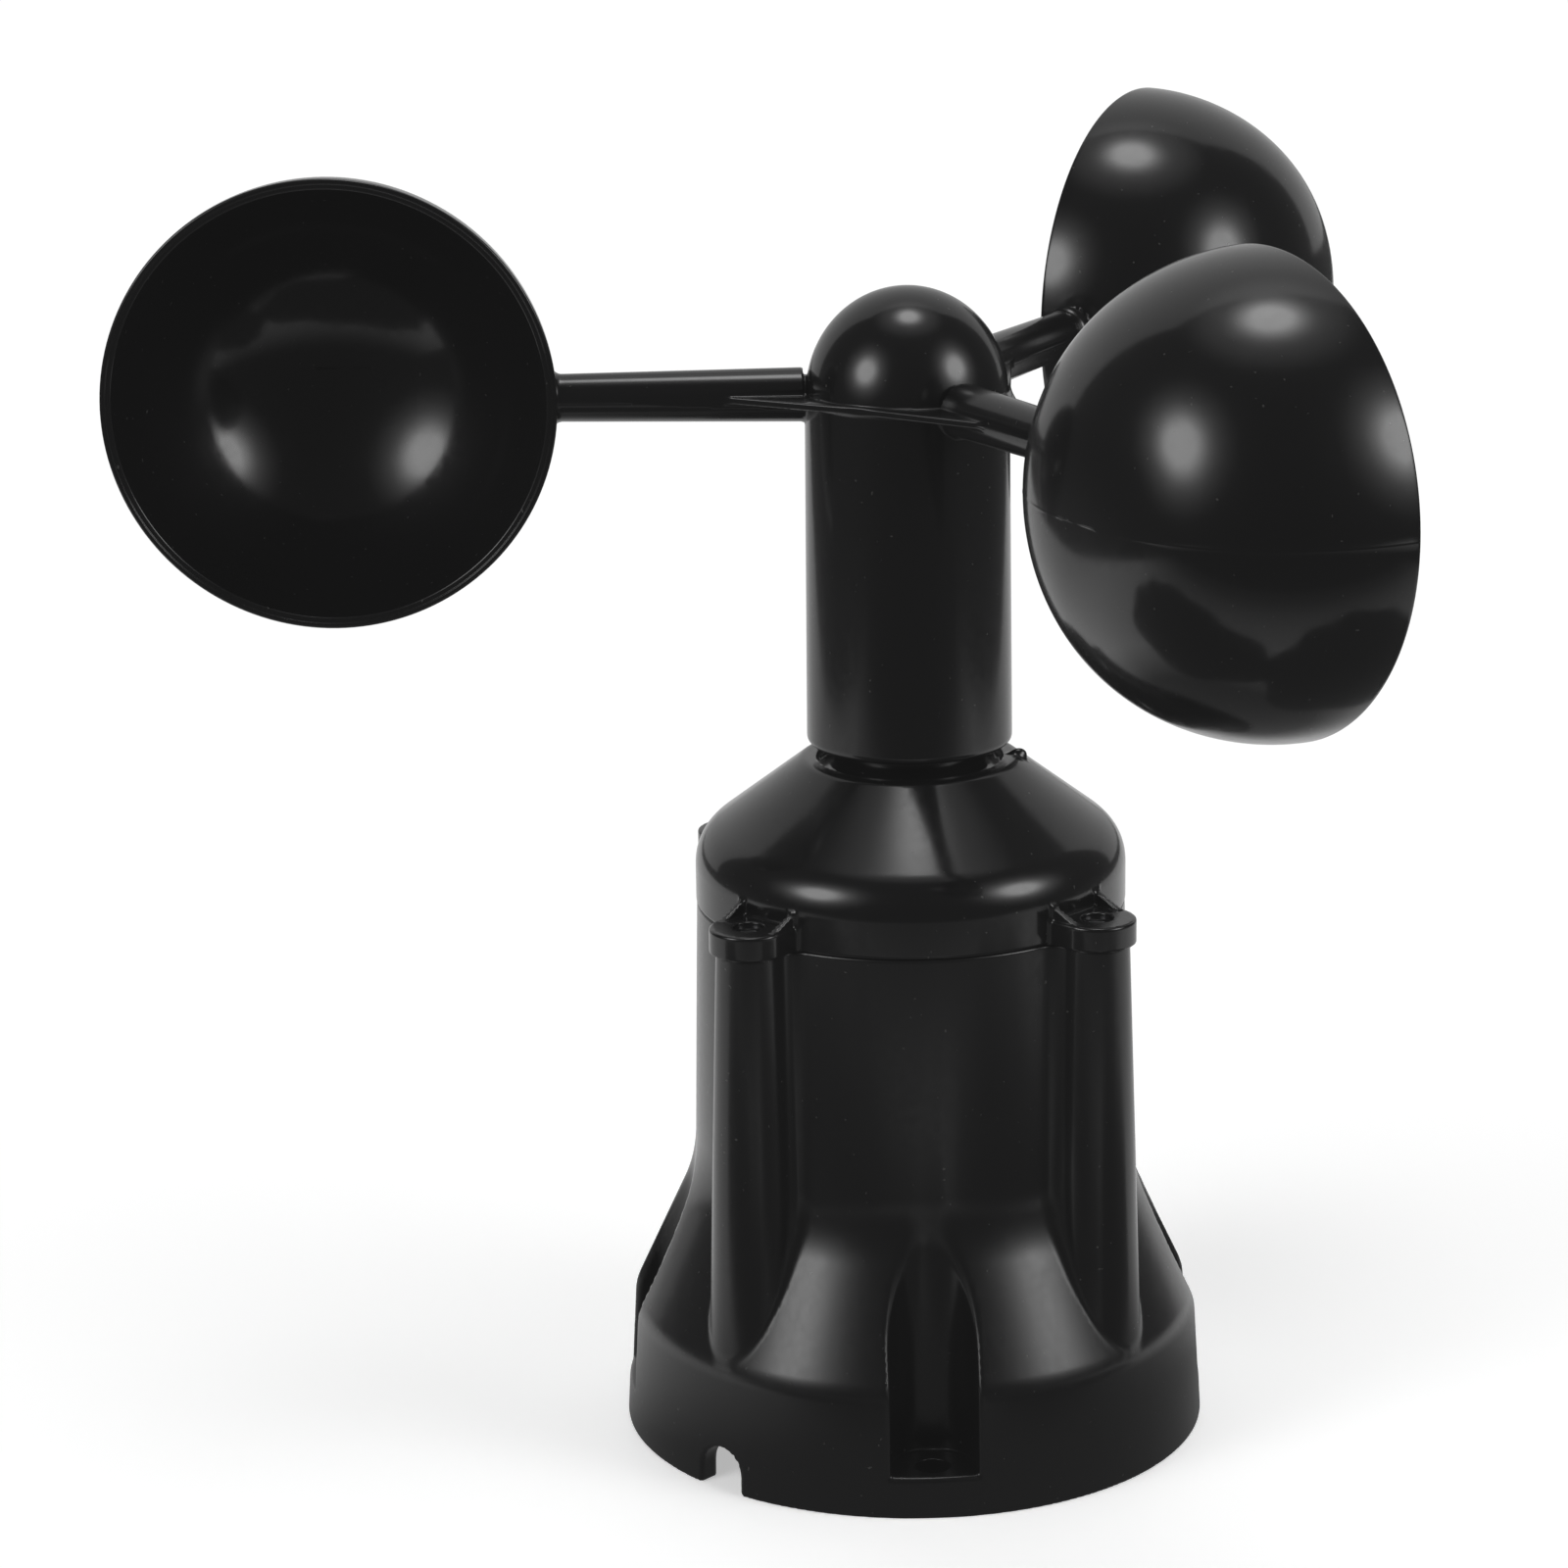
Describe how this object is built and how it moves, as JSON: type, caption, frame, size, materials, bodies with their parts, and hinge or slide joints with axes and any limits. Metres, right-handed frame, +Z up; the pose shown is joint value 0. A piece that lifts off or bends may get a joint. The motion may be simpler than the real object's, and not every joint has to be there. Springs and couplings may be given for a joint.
{
  "type": "cup anemometer",
  "caption": "Wind speed sensor: a cup rotor turns on ball bearings in a round flared housing with screw pockets and a cable notch in its foot.",
  "frame": {"origin": "centre of the foot ring's underside, at the centre of the base screw circle", "axes": "+Z up along the rotor axis; the screw pockets face -X, +X, -Y and +Y; the cable notch is at 225 degrees from +X towards +Y"},
  "size_m": [0.1737, 0.1879, 0.1741],
  "materials": {
    "housing_plastic": "glossy black moulded plastic",
    "rotor_plastic": "glossy black moulded plastic",
    "seal_rubber": "matt black rubber",
    "screw_steel": "zinc plated, darkened",
    "shaft_steel": "ground stainless steel",
    "bearing_steel": "polished bearing steel",
    "cage_steel": "pressed steel",
    "carrier_plastic": "natural acetal",
    "magnet": "nickel plated",
    "board_laminate": "green solder mask",
    "chip_plastic": "moulded epoxy",
    "capacitor_can": "drawn can",
    "terminal_plastic": "green polyamide",
    "gland_nylon": "black polyamide"
  },
  "bodies": {
    "housing": {"lower_housing": "housing_plastic", "upper_housing": "housing_plastic", "housing_seal": "seal_rubber", "gland_washer": "seal_rubber", "gland_seal": "seal_rubber", "housing_screws": "screw_steel", "board_screws": "screw_steel", "terminal_screws": "screw_steel", "upper_bearing_outer_ring": "bearing_steel", "upper_bearing_shields": "bearing_steel", "lower_bearing_outer_ring": "bearing_steel", "lower_bearing_shields": "bearing_steel", "sensor_board": "board_laminate", "hall_sensor": "chip_plastic", "board_chips": "chip_plastic", "board_capacitors": "capacitor_can", "terminal_block": "terminal_plastic", "gland_body": "gland_nylon", "gland_lock_nut": "gland_nylon", "gland_dome_nut": "gland_nylon"},
    "rotor": {"cup_rotor": "rotor_plastic", "rotor_shaft": "shaft_steel", "bearing_spacer": "shaft_steel", "shaft_clip": "shaft_steel", "dust_slinger": "seal_rubber", "magnet_carrier": "carrier_plastic", "sensor_magnets": "magnet", "carrier_set_screw": "screw_steel", "upper_bearing_inner_ring": "bearing_steel", "lower_bearing_inner_ring": "bearing_steel"},
    "upper_ball_set": {"upper_bearing_balls": "bearing_steel", "upper_bearing_cage": "cage_steel"},
    "lower_ball_set": {"lower_bearing_balls": "bearing_steel", "lower_bearing_cage": "cage_steel"}
  },
  "joints": [
    {"name": "rotor_spin", "type": "hinge", "parent": "housing", "child": "rotor", "pos_m": [0, 0, 0.14395], "axis": [0, 0, 1], "continuous": true},
    {"name": "upper_ball_orbit", "type": "hinge", "parent": "housing", "child": "upper_ball_set", "pos_m": [0, 0, 0.1265], "axis": [0, 0, 1], "continuous": true},
    {"name": "lower_ball_orbit", "type": "hinge", "parent": "housing", "child": "lower_ball_set", "pos_m": [0, 0, 0.1025], "axis": [0, 0, 1], "continuous": true}
  ],
  "couplings": [
    {"joint": "upper_ball_orbit", "follows": "rotor_spin", "ratio": 0.3705},
    {"joint": "lower_ball_orbit", "follows": "rotor_spin", "ratio": 0.3705}
  ]
}
